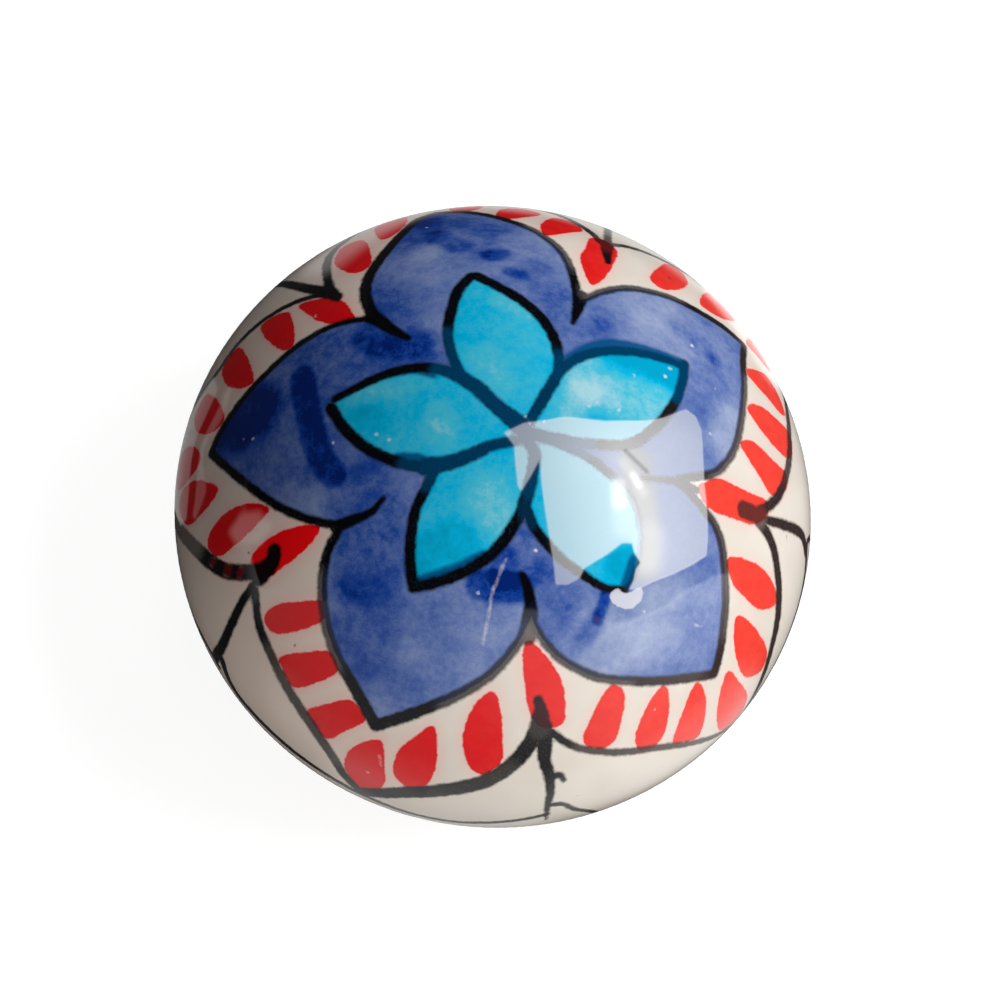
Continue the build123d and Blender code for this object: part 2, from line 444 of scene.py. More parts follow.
# Soft depths of the blue: points, width, softness of the edge, and how much deeper or paler than plain
plain_blue = 0.42
blue_depths = [
    ([(-17.5, -2.5), (-10.5, 1)], 9.0, 2.5, 0.24),
    ([(-19.2, -2.4), (-17.6, -1.2)], 2.4, 1.8, 0.4),
    ([(-14.6, 1.2), (-13.3, -1.2), (-12.2, -3.2), (-11.2, -4.4), (-10.4, -5)], 1.4, 0.4, 0.34),
    ([(-10.9, 4.3), (-9.2, 3.9), (-7.5, 4.3)], 1.2, 1.1, 0.26),
    ([(-14.3, -3.4), (-13.4, -5)], 0.8, 1.6, -0.06),
    ([(-11.6, 17.2), (-11.4, 13.6)], 1.4, 2.0, 0.3),
    ([(-11.2, 7.6), (-9, 7.6)], 1.2, 2.0, 0.24),
    ([(-11.6, 10.4)], 0.8, 1.8, 0.12),
    ([(-10.5, 17.6), (-5.5, 18)], 1.8, 2.2, 0.2),
    ([(-9.2, 16.6)], 1.2, 1.6, 0.14),
    ([(-9, 15.5), (-4.5, 14)], 3.0, 2.0, 0.07),
    ([(-9.6, 12.4)], 1.0, 1.4, -0.16),
    ([(-9.3, 14.8), (-7.5, 13.7)], 0.9, 0.9, 0.3),
    ([(-6.2, 15.5), (-6, 13.2)], 0.8, 1.2, 0.14),
    ([(-5.1, 13), (-4.4, 13.4)], 0.7, 0.6, 0.34),
    ([(-3.5, 11.7), (-2.7, 11.6)], 0.4, 0.5, 0.32),
    ([(-3, 15.4)], 1.2, 1.8, -0.08),
    ([(-1.6, 12.2), (-0.2, 10.2), (0.5, 8.7)], 1.2, 1.4, 0.18),
    ([(6.5, 13.5)], 2.0, 2.6, -0.2),
    ([(6.2, 10.9), (8.2, 10.4)], 1.2, 1.6, -0.22),
    ([(2.8, 9.8), (3.2, 10.8)], 0.9, 1.2, 0.12),
    ([(2.2, 7.4), (3, 8.8)], 0.9, 1.2, 0.16),
    ([(7.8, 12.3), (9, 11.6)], 0.5, 0.9, 0.2),
    ([(11.2, 11.3)], 0.4, 0.8, 0.24),
    ([(11, 15), (12.8, 14.8)], 0.8, 1.2, 0.08),
    ([(13.2, 7), (13.3, 5.2)], 1.2, 1.6, -0.36),
    ([(11.2, 9.4), (11.6, 6.8)], 1.2, 1.4, 0.09),
    ([(10.4, -9.6), (9.6, -11.2)], 1.6, 2.0, -0.27),
    ([(4, 11.9)], 0.8, 1.2, -0.14),
    ([(12.8, -8.8)], 1.4, 2.2, -0.2),
    ([(10.8, -6.8), (12.4, -5.7)], 0.8, 1.2, -0.3),
    ([(14.6, -9.3), (15.9, -8)], 1.2, 1.8, 0.14),
    ([(4.2, -7.6), (5.4, -8.6), (5.2, -10.6)], 1.2, 1.2, 0.2),
    ([(8.2, -7.3), (8.2, -9.1)], 0.45, 0.35, 0.5),
    ([(8.15, -9.4), (7.8, -10.7)], 0.5, 0.7, 0.26),
    ([(0.5, -9.4), (1.5, -9.2), (2.6, -9)], 1.4, 0.5, 0.45),
    ([(1.2, -7.5), (1.8, -8.5)], 1.0, 0.8, 0.32),
    ([(2.2, -6.2), (3, -7.4)], 1.2, 1.2, 0.18),
    ([(-7.8, -6.4), (-6.4, -10), (-6, -15.6)], 2.8, 2.3, 0.28),
    ([(-7.6, -11.5), (-5.8, -11.8)], 0.9, 0.9, 0.14),
    ([(-1.2, -12.4), (-0.6, -15.6), (-1.6, -17.4)], 1.8, 1.8, 0.12),
]

# Soft depths of the turquoise, in the same way
plain_leaf = 0.72
leaf_depths = [
    ([(-5.1, 0), (-4.2, -0.6)], 1.0, 0.6, -0.16),
    ([(-5.1, -1.2), (-4.1, -1.7)], 1.0, 0.6, -0.16),
    ([(-10.2, 0.2), (-7.4, 1.3)], 0.4, 0.9, -0.22),
    ([(-9, -1.2)], 1.4, 1.2, 0.12),
    ([(-3.6, 4.4), (-2.9, 3.5), (-1.9, 2.8)], 0.6, 1.2, -0.2),
    ([(-1.8, 8.5), (-3.4, 9)], 0.5, 1.0, -0.26),
    ([(-4.6, 6.5)], 1.6, 1.4, 0.08),
    ([(2.5, 2.8), (3, 3.8)], 0.8, 1.4, -0.38),
    ([(3.9, 4.7), (4.9, 4.1)], 0.5, 1.3, -0.14),
    ([(3.4, 5.2), (7.2, 5)], 2.2, 1.6, -0.34),
    ([(4.3, 6.9), (6.1, 7.4), (8.2, 7.8)], 0.9, 1.1, 0.4),
    ([(0.4, -5.2), (-0.8, -4.2)], 0.8, 1.8, -0.38),
    ([(-2.4, 6.6), (-0.6, 3)], 1.2, 2.0, -0.1),
    ([(-3.2, -8.8), (-1.8, -7.6)], 1.8, 1.4, 0.2),
    ([(8.5, -5.5)], 0.8, 1.4, 0.34),
]

# Strokes of deeper blue beside the leaves
leaf_shades = [
    ([(1.75, 6), (3, 7.5), (4.4, 8.35), (6.4, 8.9), (8.6, 9.3)], 0.8, 0.65),
    ([(9.1, -4.8), (9.2, -6.4)], 0.5, 0.7),
    ([(-3.1, -10.1), (-1.4, -8.95), (0.1, -7.6)], 0.6, 0.5),
    ([(-8.3, 1.95), (-7.2, 2.35), (-5.8, 2.3)], 0.3, 0.3),
    ([(-6.5, -3.25), (-5.5, -3.05), (-4.5, -3.1)], 0.6, 0.6),
]

# Where turquoise has run over the ink of the leaves: as the depths, and so are the next three
tinted_ink = [
    ([(-5.6, 2.8), (-3.4, 2.2), (-1.9, 1.35), (-0.1, 0.4)], 0.9, 0.5, 1.0),
    ([(-5.8, -3.6), (-4.9, -3.5), (-3.1, -2.65), (-1.5, -1.35), (0, -0.5)], 0.9, 0.5, 0.9),
    ([(-5.9, 5.2), (-5.3, 4.1), (-4.4, 2.9)], 0.9, 0.6, 0.9),
    ([(1.1, 5.6), (1, 3.1), (0.45, 0.85)], 0.9, 0.6, 0.8),
    ([(1.45, 5), (2.45, 6.4), (3.9, 7.5), (5.7, 8.3), (7.3, 8.75), (8.95, 9.05), (9.1, 7.6), (8.95, 6.6)],
     0.9, 0.4, 1.0),
    ([(-4.1, -3.2), (-4.3, -4.3)], 0.9, 0.5, 0.8),
    ([(1.65, -3), (1.45, -1.6), (0.9, -0.6)], 0.9, 0.5, 0.9),
    ([(8.8, -3.4), (9.5, -6)], 0.9, 0.5, 1.0),
    ([(0.6, 0.3), (2.2, 0.4), (3.8, 0.5)], 1.2, 0.8, 1.0),
    ([(2.2, -5), (1.7, -4.2)], 0.6, 0.4, 0.5),
]

# Where the ink is thinly laid and the ground shows through; one stroke is instead painted paler under the
# window's brightest band, a painted highlight
thin_ink_and_glare = [
    ([(15.9, 1.6), (17.2, 1.9)], 1.4, 0.6, 0.12),
    ([(6.8, -15.9), (7.2, -17)], 1.0, 0.5, 0.04),
    ([(2.2, 11.85), (3.6, 13.3), (5.1, 14.25), (7.4, 15.1)], 0.8, 1.2, 0.12),
    ([(-3, 17.4), (-1.2, 15.9), (-0.2, 14.5)], 0.8, 1.2, 0.13),
    ([(14.05, 11), (14.15, 8.5), (14.1, 5.9), (13.1, 3.05)], 0.8, 1.2, 0.12),
    ([(13.8, -0.45), (15.7, -2.6), (17.3, -6)], 0.8, 1.2, 0.08),
    # painted highlight: the leaf's ink painted paler under the window's brightest band
    ([(6.9, -0.9), (7.9, -1.5), (8.75, -2.6), (9.2, -3.6), (9.4, -4.6)], 0.8, 0.6, 0.4),
    ([(11.3, -12.2), (9.3, -12.55), (7, -12.25), (4.6, -10.8)], 0.8, 1.2, 0.1),
    ([(3.9, -11.8), (2.4, -15.1), (0.8, -16.8)], 0.8, 1.2, 0.1),
    ([(-7.4, -16.2), (-8.6, -14.2), (-9.35, -12)], 0.8, 1.2, 0.13),
    ([(-15.8, -12.15), (-15.9, -12.5)], 0.2, 0.3, 0.2),
    ([(-17, -12.15), (-17.1, -12.55)], 0.4, 0.3, 0.14),
    ([(-18.5, -11.8), (-18.7, -12.1)], 0.15, 0.3, 0.18),
    ([(2.15, 20.5), (2.3, 18.4)], 0.9, 1.2, 0.14),
    ([(20.2, -14.4), (16.9, -15.6), (13.7, -16.9), (11, -17.45)], 0.7, 1.2, 0.08),
    ([(6.4, -20.8), (4.9, -22.5), (2.3, -24.1)], 0.9, 1.2, 0.05),
    ([(-6.6, -23.8), (-8.5, -21.7), (-10.7, -19.5), (-12.3, -17.5)], 0.9, 1.2, 0.08),
    ([(-26.3, -2), (-24.9, 0.9), (-22.2, 4.7)], 0.6, 0.8, 0.12),
    ([(-21.1, -11), (-23.6, -9.9), (-25.6, -8.9)], 0.9, 1.4, 0.22),
    ([(19.4, 6.5), (19.35, 11), (19.2, 13.2)], 0.8, 1.0, 0.06),
]

# Where the blue is painted grey along the window's brightest band, a painted highlight, and where the red
# is brighter
painted_glare_on_blue = [([(7.4, 0.9), (8.2, -0.8), (9.3, -3.0), (9.9, -4.8)], 1.0, 1.2, 1.0)]
bright_red = [([(-13.8, -10.8), (-11.4, -9.2)], 2.0, 1.0, 1.0)]

# Pinholes and grains in the glaze, each with its radius, the pale ones painted pale as their glints, a blob
# of glaze painted pale as its highlight, scratches and a hair
glinting_specks = [
    (8.1, 8.3, 0.16), (7.9, 7.5, 0.14), (5.9, 6.5, 0.1), (5.5, 3.7, 0.1), (3.7, 3.2, 0.14), (4.1, 3.6, 0.1),
    (1.3, 1.2, 0.09), (0.15, 1.15, 0.09), (0.5, 0.85, 0.1), (-17.9, -3.3, 0.11), (-17.1, -3.25, 0.1),
    (-8.3, -2.1, 0.11), (-7.4, -2.3, 0.09), (-10.9, -3.1, 0.1), (-3.5, -24.25, 0.14), (-10.4, 16.2, 0.12),
    (11.9, 5.2, 0.09), (11.6, 8.8, 0.09), (9.4, 11.3, 0.14), (11, -7.6, 0.09), (3.1, -6.45, 0.12),
    (14.7, -13.2, 0.09), (-15.4, 6.3, 0.12), (0.5, -9.9, 0.1),
]
dark_specks = [
    (-10.5, -16.3, 0.11), (7.15, 17.8, 0.16), (12.4, -21.2, 0.08), (-15.4, -10.9, 0.14),
]
glaze_blob_highlight = [
    (8.4, -7.4), (8.75, -6.95), (9.45, -7), (10.2, -6.3), (10.55, -6.9), (10.2, -7.65), (9.5, -7.95),
    (8.75, -7.8),
]
pale_scratches = [
    ([(1.5, -7.5), (1.4, -8.7), (1.35, -9.8), (1.55, -11.2), (1.7, -12.8)], 0.16, 0.2),
    ([(-2.9, -22.4), (-2.6, -23.2)], 0.16, 0.12),
    ([(15, -7), (15.6, -6.9)], 0.16, 0.12),
]
brown_hair = ([(20.75, 2.4), (20.9, 1.9), (21.0, 1.4)], 0.14, 0.05)


def smooth(points, spacing=0.15, closed=False):
    """Points along the smooth curve that passes through the given ones."""
    points = np.array(points, float)
    if closed:
        padded = np.concatenate([points[-1:], points, points[:2]])
    else:
        padded = np.concatenate([2 * points[:1] - points[1:2], points, 2 * points[-1:] - points[-2:-1]])
    curve = []
    for a, b, c, d in zip(padded, padded[1:], padded[2:], padded[3:]):
        count = max(2, math.ceil(np.linalg.norm(c - b) / spacing))
        t = np.arange(count)[:, None] / count
        slope = (c - a) / 2
        bend = a - 2.5 * b + 2 * c - d / 2
        twist = 1.5 * (b - c) + (d - a) / 2
        curve.append(b + t * (slope + t * (bend + t * twist)))
    if not closed:
        curve.append(points[-1:])
    return np.concatenate(curve)


def to_line(places, line, half_widths):
    """Distance from each place to the nearest edge of a stroke, less than zero inside it."""
    start, run = line[:-1], np.diff(line, axis=0)
    offset = places[:, None, :] - start
    along = np.clip((offset * run).sum(2) / np.maximum((run**2).sum(1), 1e-9), 0, 1)
    gap = np.linalg.norm(offset - along[..., None] * run, axis=2)
    return (gap - half_widths[:-1] - along * np.diff(half_widths)).min(1)


def inside(places, loop):
    """Whether each place lies within a closed line."""
    x, y = places.T
    within = np.zeros(len(places), bool)
    for (x0, y0), (x1, y1) in zip(loop, np.roll(loop, -1, axis=0)):
        if y0 != y1:
            crosses = (y0 > y) != (y1 > y)
            within ^= crosses & (x < x0 + (y - y0) * (x1 - x0) / (y1 - y0))
    return within


class Canvas:
    """Layers of paint at places of the chart: signed distances to what is painted, and soft depths.

    Distances stop at far, in millimetres. A stretch is as many pieces of a line as are worked out at once.
    """

    far = 1.0
    stretch = 12

    def __init__(self, places):
        self.places = places
        self.layers = {}

    def near(self, line, margin):
        low, high = line.min(0) - margin, line.max(0) + margin
        return np.flatnonzero(((self.places > low) & (self.places < high)).all(1))

    def layer(self, name, start):
        return self.layers.setdefault(name, np.full(len(self.places), start))

    def distance(self, line, half_widths, reach):
        """Distance to the edge of a stroke, worked out a short stretch at a time."""
        gap = np.full(len(self.places), reach)
        for first in range(0, len(line) - 1, self.stretch):
            part = slice(first, first + self.stretch + 1)
            found = self.near(line[part], reach + half_widths[part].max())
            gap[found] = np.minimum(gap[found], to_line(self.places[found], line[part], half_widths[part]))
        return gap

    def stroke(self, name, points, start_width, end_width):
        line = smooth(points)
        arc = np.r_[0, np.cumsum(np.linalg.norm(np.diff(line, axis=0), axis=1))]
        half = np.interp(arc, [0, arc[-1]], [start_width / 2, end_width / 2])
        values = self.layer(name, self.far)
        np.minimum(values, self.distance(line, half, self.far), out=values)

    def field(self, name, loop):
        closed = np.concatenate([loop, loop[:1]])
        gap = self.distance(closed, np.zeros(len(closed)), self.far)
        found = self.near(loop, 0)
        within = found[inside(self.places[found], loop)]
        gap[within] *= -1
        values = self.layer(name, self.far)
        np.minimum(values, gap, out=values)

    def spot(self, name, u, v, radius):
        values = self.layer(name, self.far)
        np.minimum(values, np.hypot(*(self.places - (u, v)).T) - radius, out=values)

    def depth(self, name, points, width, softness, amount):
        """Adds an amount along a line, full within its width and fading out past it."""
        line = smooth(points) if len(points) > 1 else np.array(points * 2, float)
        gap = self.distance(line, np.full(len(line), width / 2), softness)
        share = np.clip(1 - gap / softness, 0, 1)
        values = self.layer(name, 0.0)
        values += amount * share * share * (3 - 2 * share)

    def store(self, mesh):
        """Keeps the layers as attributes of a mesh that has its points at the places."""
        for name, values in self.layers.items():
            mesh.attributes.new(name, "FLOAT", "POINT").data.foreach_set("value", values)


def paint(places):
    """Canvas with all the layers of paint at the chart's places."""
    canvas = Canvas(places)
    canvas.field("blue", np.concatenate([smooth(points)[:-1] for points, *_ in petal_sides]))
    for out, back in leaves:
        canvas.field("leaf", np.concatenate([smooth(out[0]), smooth(back[0])]))
        canvas.stroke("ink", *out)
        canvas.stroke("ink", *back)
    for dab in red_dabs:
        canvas.field("red", smooth(dab, closed=True))
    # the blob of glaze, painted pale as its highlight
    canvas.field("pale", smooth(glaze_blob_highlight, closed=True))
    # the window's outline, under which blue and turquoise are painted more grey as a painted wash of its
    # reflection
    canvas.field("under_window", np.array(window_outline))
    ink = petal_sides + cleft_tails + shared_lines + border + cusps + cusp_lines + girth_arches
    strokes = {"ink": ink, "shade": leaf_shades, "scratch": pale_scratches, "dark": [brown_hair]}
    for name, lines in strokes.items():
        for line in lines:
            canvas.stroke(name, *line)
    for name, specks in {"pale": glinting_specks, "dark": dark_specks}.items():
        for speck in specks:
            canvas.spot(name, *speck)
    canvas.layer("blue_depth", plain_blue)
    canvas.layer("leaf_depth", plain_leaf)
    depths = {"blue_depth": blue_depths, "leaf_depth": leaf_depths, "tint": tinted_ink, "thin": thin_ink_and_glare,
              "greyed": painted_glare_on_blue, "bright": bright_red}
    for name, lines in depths.items():
        for line in lines:
            canvas.depth(name, *line)
    return canvas


# Materials


class Shader:
    """A material and a short way to write its nodes."""

    def __init__(self, name):
        self.material = bpy.data.materials.new(name)
        self.material.use_nodes = True
        self.tree = self.material.node_tree
        self.surface = self.tree.nodes["Principled BSDF"]
        self.output = self.tree.nodes["Material Output"]
        self.place = self.node("ShaderNodeTexCoord").outputs["Object"]

    def node(self, kind, inputs=None, **settings):
        made = self.tree.nodes.new(kind)
        for name, value in settings.items():
            setattr(made, name, value)
        self.feed(made, inputs or {})
        return made

    def feed(self, node, inputs):
        """Links or sets inputs of a node, by their names or numbers."""
        for name, value in inputs.items():
            if isinstance(value, bpy.types.NodeSocket):
                self.tree.links.new(value, node.inputs[name])
            else:
                node.inputs[name].default_value = value

    def attribute(self, name):
        return self.node("ShaderNodeAttribute", attribute_name=name).outputs["Fac"]

    def math(self, operation, a, b):
        return self.node("ShaderNodeMath", {0: a, 1: b}, operation=operation).outputs[0]

    def sum(self, a, b):
        return self.math("ADD", a, b)

    def times(self, a, b):
        return self.math("MULTIPLY", a, b)

    def fade(self, value, zero_at, one_at, low=0.0, high=1.0):
        """Runs smoothly from low to high as the value goes from one end to the other."""
        inputs = {"Value": value, "From Min": zero_at, "From Max": one_at, "To Min": low, "To Max": high}
        return self.node("ShaderNodeMapRange", inputs, interpolation_type="SMOOTHSTEP").outputs["Result"]

    def noise(self, size, detail=2.0, roughness=0.5, low=0.0, high=1.0):
        """Soft noise with lumps of this many millimetres, spread to run from low to high."""
        inputs = {"Vector": self.place, "Scale": 1 / (size * MM), "Detail": detail, "Roughness": roughness}
        return self.fade(self.node("ShaderNodeTexNoise", inputs).outputs["Fac"], 0.3, 0.7, low, high)

    def mix(self, factor, a, b):
        return self.node("ShaderNodeMix", {0: factor, 6: a, 7: b}, data_type="RGBA").outputs[2]

    def ramp(self, value, stops):
        made = self.node("ShaderNodeValToRGB", {"Fac": value})
        elements = made.color_ramp.elements
        while len(elements) < len(stops):
            elements.new(0.5)
        for element, (position, colour) in zip(elements, stops):
            element.position = position
            element.color = (*colour, 1)
        return made.outputs["Color"]


def painted_glaze():
    shader = Shader("painted_glaze")
    jitter = shader.noise(0.5, 4, 0.65, -0.045, 0.045)
    grain = shader.noise(0.13, 2, 0.6, -1, 1)
    mottle = shader.noise(1.8, 5, 0.6, -1, 1)
    fleck = shader.noise(0.5, 3, 0.6, -1, 1)
    fine = shader.sum(shader.times(fleck, 0.05), shader.times(grain, 0.025))
    x, y, z = shader.node("ShaderNodeSeparateXYZ", {0: shader.place}).outputs

    def tone(layer, mottled, fined):
        speckle = shader.sum(shader.times(mottle, mottled), shader.times(fine, fined))
        return shader.sum(shader.attribute(layer), speckle)

    def over(layer, edge, colour, paint_colour, strength=1.0):
        cover = shader.fade(shader.sum(shader.attribute(layer), jitter), edge, -edge, 0.0, strength)
        return shader.mix(cover, colour, paint_colour)

    # Glaze, pinker and a little darker in green and blue towards -X, the side away from the lamps: a
    # painted warm shade
    cream = shader.mix(shader.noise(4, 4), (0.7, 0.635, 0.565, 1), (0.745, 0.685, 0.615, 1))
    cream = shader.mix(shader.fade(x, 6 * MM, -12 * MM, 0.0, 0.9), cream, (0.73, 0.6, 0.525, 1))

    # Red, painted more orange towards +X, the lit side, as painted light, and a red tint of the glaze round
    # the red, stronger towards -X as painted warm shade
    slant = shader.sum(x, shader.times(shader.math("MINIMUM", y, 0.0), 0.35))
    lit_side_warmth = shader.sum(shader.fade(slant, -4 * MM, 14 * MM), shader.noise(0.9, 4, 0.5, -0.08, 0.08))
    red = shader.mix(lit_side_warmth, (0.73, 0.001, 0.004, 1), (0.86, 0.062, 0.042, 1))
    red = shader.mix(shader.noise(0.8, 4, 0.6, 0.0, 0.22), red, (0.6, 0.01, 0.014, 1))
    red = shader.mix(shader.attribute("bright"), red, (0.9, 0.003, 0.006, 1))
    near_red = shader.fade(shader.attribute("red"), 1.0, 0.0)
    # the glaze round the red is tinted red, more towards -X, where the tint is painted warm shade
    red_tint_and_warm_shade = shader.times(near_red, shader.fade(x, 10 * MM, -8 * MM, 0.13, 0.28))

    # Blue and turquoise, from pale to deep, both painted more grey under the window's reflection, a painted
    # wash of the reflection over them
    painted_reflection_grey = shader.fade(shader.attribute("under_window"), 0.15, -0.2, 0.0, 0.85)
    blue = shader.ramp(tone("blue_depth", 0.1, 1.3), [
        (0.0, (0.3, 0.36, 0.54)), (0.5, (0.105, 0.165, 0.4)), (0.75, (0.024, 0.073, 0.32)),
        (0.9, (0.004, 0.04, 0.27)), (1.0, (0.001, 0.016, 0.15))])
    blue = shader.mix(painted_reflection_grey, blue, (0.05, 0.088, 0.205, 1))
    # the blue painted grey along the window's brightest band, a painted highlight
    blue = shader.mix(shader.attribute("greyed"), blue, (0.095, 0.1, 0.11, 1))
    leaf = shader.ramp(tone("leaf_depth", 0.08, 1.5), [
        (0.0, (0.36, 0.63, 0.71)), (0.45, (0.06, 0.485, 0.645)), (0.8, (0.001, 0.42, 0.69)),
        (1.0, (0.0005, 0.335, 0.55))])
    leaf = shader.mix(painted_reflection_grey, leaf, (0.15, 0.32, 0.38, 1))

    # Ink, browner towards +X and blue where turquoise tints it
    ink = shader.mix(shader.fade(x, 5 * MM, 16 * MM), (0.002, 0.002, 0.003, 1), (0.035, 0.021, 0.02, 1))
    ink = shader.mix(shader.attribute("tint"), ink, (0.0, 0.04, 0.105, 1))
    # the ink is paler where it is thinly laid, and where it is painted paler as a painted highlight under
    # the window
    thin = shader.sum(shader.attribute("thin"), shader.fade(grain, 0.2, 1.0, 0.0, 0.03))

    colour = over("red", 0.08, shader.mix(red_tint_and_warm_shade, cream, (0.92, 0.34, 0.3, 1)), red)
    colour = over("blue", 0.06, colour, blue)
    colour = over("leaf", 0.08, colour, leaf)
    colour = over("shade", 0.18, colour, (0.0, 0.072, 0.215, 1), 0.95)
    colour = over("ink", 0.14, colour, ink, shader.sum(1.0, shader.times(thin, -1.0)))
    colour = over("dark", 0.05, colour, (0.1, 0.055, 0.035, 1), 0.8)
    colour = over("scratch", 0.1, colour, (0.76, 0.74, 0.76, 1), 0.4)
    # pinholes and a blob of glaze, painted pale as their glints and highlight
    colour = over("pale", 0.07, colour, (0.68, 0.69, 0.74, 1), 0.8)

    # Bare clay under the foot
    bare = shader.fade(z, 0.5 * MM, 0.3 * MM)
    clay = shader.mix(shader.noise(0.25, 3, 0.6), (0.6, 0.53, 0.45, 1), (0.72, 0.65, 0.56, 1))
    roughness = shader.fade(bare, 0.0, 1.0, 0.04, 0.8)
    base = shader.mix(bare, colour, clay)
    shader.feed(shader.surface, {"Base Color": base, "Roughness": roughness, "IOR": 1.55})
    return shader.material


def brass():
    shader = Shader("brass")
    tint = shader.mix(shader.noise(1.2, 4), (0.62, 0.42, 0.16, 1), (0.72, 0.52, 0.22, 1))
    roughness = shader.noise(0.4, 3, 0.5, 0.22, 0.4)
    shader.feed(shader.surface, {"Base Color": tint, "Roughness": roughness, "Metallic": 1.0})
    return shader.material


# Pieces


def add_uv(mesh, arcs, directions):
    """Chart of the painted side across the square, with the plain underside small in a corner."""
    middle, reach = 0.5, 0.495
    back_middle, back_reach = 0.07, 0.066
    corners = np.zeros(len(mesh.loops), int)
    mesh.loops.foreach_get("vertex_index", corners)
    split = paint_end + paint_edge
    front = middle + directions * (arcs / split * reach)[:, None]
    back_share = (arcs.max() - arcs) / (arcs.max() - paint_end)
    back = back_middle + directions * (back_share * back_reach)[:, None]
    plain = (arcs[corners].reshape(-1, 3).max(1) > split).repeat(3)
    layer = mesh.uv_layers.new(name="OFBake")
    layer.data.foreach_set("uv", np.where(plain[:, None], back[corners], front[corners]).ravel())


def painted_head():
    rings = head_rings()
    head = turned("painted_head", rings)
    mesh = head.data
    ring_radius, ring_height, ring_count, _ = (np.array(column) for column in zip(*rings))
    ring_arc = np.r_[0, np.cumsum(np.hypot(np.diff(ring_radius), np.diff(ring_height)))]
    arcs = np.repeat(ring_arc, ring_count)
    places = np.zeros(3 * len(mesh.vertices))
    mesh.vertices.foreach_get("co", places)
    bearing = np.arctan2(places[1::3], places[::3])
    directions = np.stack([np.cos(bearing), np.sin(bearing)], 1)
    paint(arcs[:, None] * directions).store(mesh)
    add_uv(mesh, arcs, directions)
    mesh.materials.append(painted_glaze())
    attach(head, "root")
    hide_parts("knob_head")


def threaded_bush():
    bush = turned("threaded_bush", insert_rings(), closed=True)
    bush.data.materials.append(brass())
    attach(bush, "root")
    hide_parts("threaded_insert")


# Camera, stage and light

girth_centre = np.array([0, 0, girth_height])
view_back = np.array([0, -math.sin(camera_tilt), math.cos(camera_tilt)])
level_right = np.array([1, 0, 0])
level_up = np.cross(view_back, level_right)
view_right = math.cos(camera_roll) * level_right + math.sin(camera_roll) * level_up
view_up = math.cos(camera_roll) * level_up - math.sin(camera_roll) * level_right
camera_place = girth_centre + camera_distance * view_back


def add_camera():
    data = bpy.data.cameras.new("camera")
    data.sensor_width = sensor_width
    data.lens = girth_scale * camera_distance * sensor_width / picture_size
    data.shift_x = 0.5 - girth_pixel[0] / picture_size
    data.shift_y = girth_pixel[1] / picture_size - 0.5
    data.clip_start = 0.01
    camera = add_object("camera", data)
    turn = Matrix([view_right, view_up, view_back]).transposed().to_4x4()
    camera.matrix_world = Matrix.Translation(camera_place * MM) @ turn
    bpy.context.scene.camera = camera


def reflected(u, v):
    """Point of the dome at a place of the chart, where its gloss points, and how squarely it is seen."""
    point, normal = on_dome(u, v)
    view = camera_place - point
    view /= np.linalg.norm(view)
    return point, 2 * (normal @ view) * normal - view, normal @ view


def gloss_card(name, outline, depths=(), *, distance, strength, edge=0.06, step=0.3, around=False):
    """Curved card that shows in the dome's gloss with this outline of the chart, or all around it.

    It glows with this strength, and more along the depths, and hides what lies behind it. The chart's
    step is that of its mesh, and it ends where the camera only grazes the dome.
    """
    grazing = 0.04
    outline = np.array(outline)
    low, high = outline.min(0) - 2 * step, outline.max(0) + 2 * step
    if around:
        low, high = (-paint_end, -paint_end), (paint_end, paint_end)
    columns, rows = (np.arange(low[axis], high[axis], step) for axis in (0, 1))
    places = np.stack(np.meshgrid(columns, rows), 2).reshape(-1, 2)
    canvas = Canvas(places)
    canvas.field("edge", outline)
    edges = canvas.layers["edge"]
    if around:
        edges *= -1
    canvas.layer("glow", strength)
    for depth in depths:
        canvas.depth("glow", *depth)
    points, rays, facing = (np.array(column) for column in zip(*(reflected(u, v) for u, v in places)))
    shows = (edges < edge) & (facing > grazing)
    wide = len(columns)
    quads = [(k, k + 1, k + wide + 1, k + wide) for k in range(len(places) - wide) if (k + 1) % wide]
    kept = [quad for quad in quads if shows[list(quad)].any() and facing[list(quad)].min() > grazing]
    card = add_mesh(name, points + rays * distance, kept)
    canvas.store(card.data)
    shader = Shader(name)
    shown = shader.fade(shader.attribute("edge"), edge, -edge)
    glow = shader.node("ShaderNodeEmission", {"Strength": shader.attribute("glow")}).outputs[0]
    clear = shader.node("ShaderNodeBsdfTransparent").outputs[0]
    both = shader.node("ShaderNodeMixShader", {0: shown, 1: clear, 2: glow})
    shader.feed(shader.output, {"Surface": both.outputs[0]})
    card.data.materials.append(shader.material)
    card.visible_camera = False
    card.visible_diffuse = False
    card.visible_shadow = False


# What the gloss shows, each by its outline on the chart and its depths: the bright window, a pale board in
# front, and the dark room round the stage, with light at its rims and three slips of light in the west
window_outline = [
    (-0.8, -0.2), (0.2, 0.75), (1.4, 1.35), (2.4, 1.95), (4.8, 2.6), (7.2, 3.7), (8.4, 4.5), (9.8, 5.95),
    (10.6, 5.8), (11.2, 5.1), (11.7, 3.6), (12.3, 1.8), (13, 0.3), (13.7, -1.4), (14.05, -2.6),
    (13.2, -3.6), (12.2, -4.6), (10.9, -5.7), (10.2, -6.4), (9.5, -6.7), (9.6, -6.1), (9.5, -5.4),
    (9.65, -4.9), (9.1, -4.5), (8.7, -4), (8.1, -4.2), (7.5, -5.1), (6.3, -6.5), (6.2, -7.2), (5.6, -7.8),
    (4.9, -8), (4.4, -6.9), (3.6, -5.4), (2.9, -4), (2.3, -2.7), (1.7, -1.2), (1.5, -2.2), (1.2, -3.4),
    (0.9, -3.1), (0.4, -1.9), (0, -0.8),
]
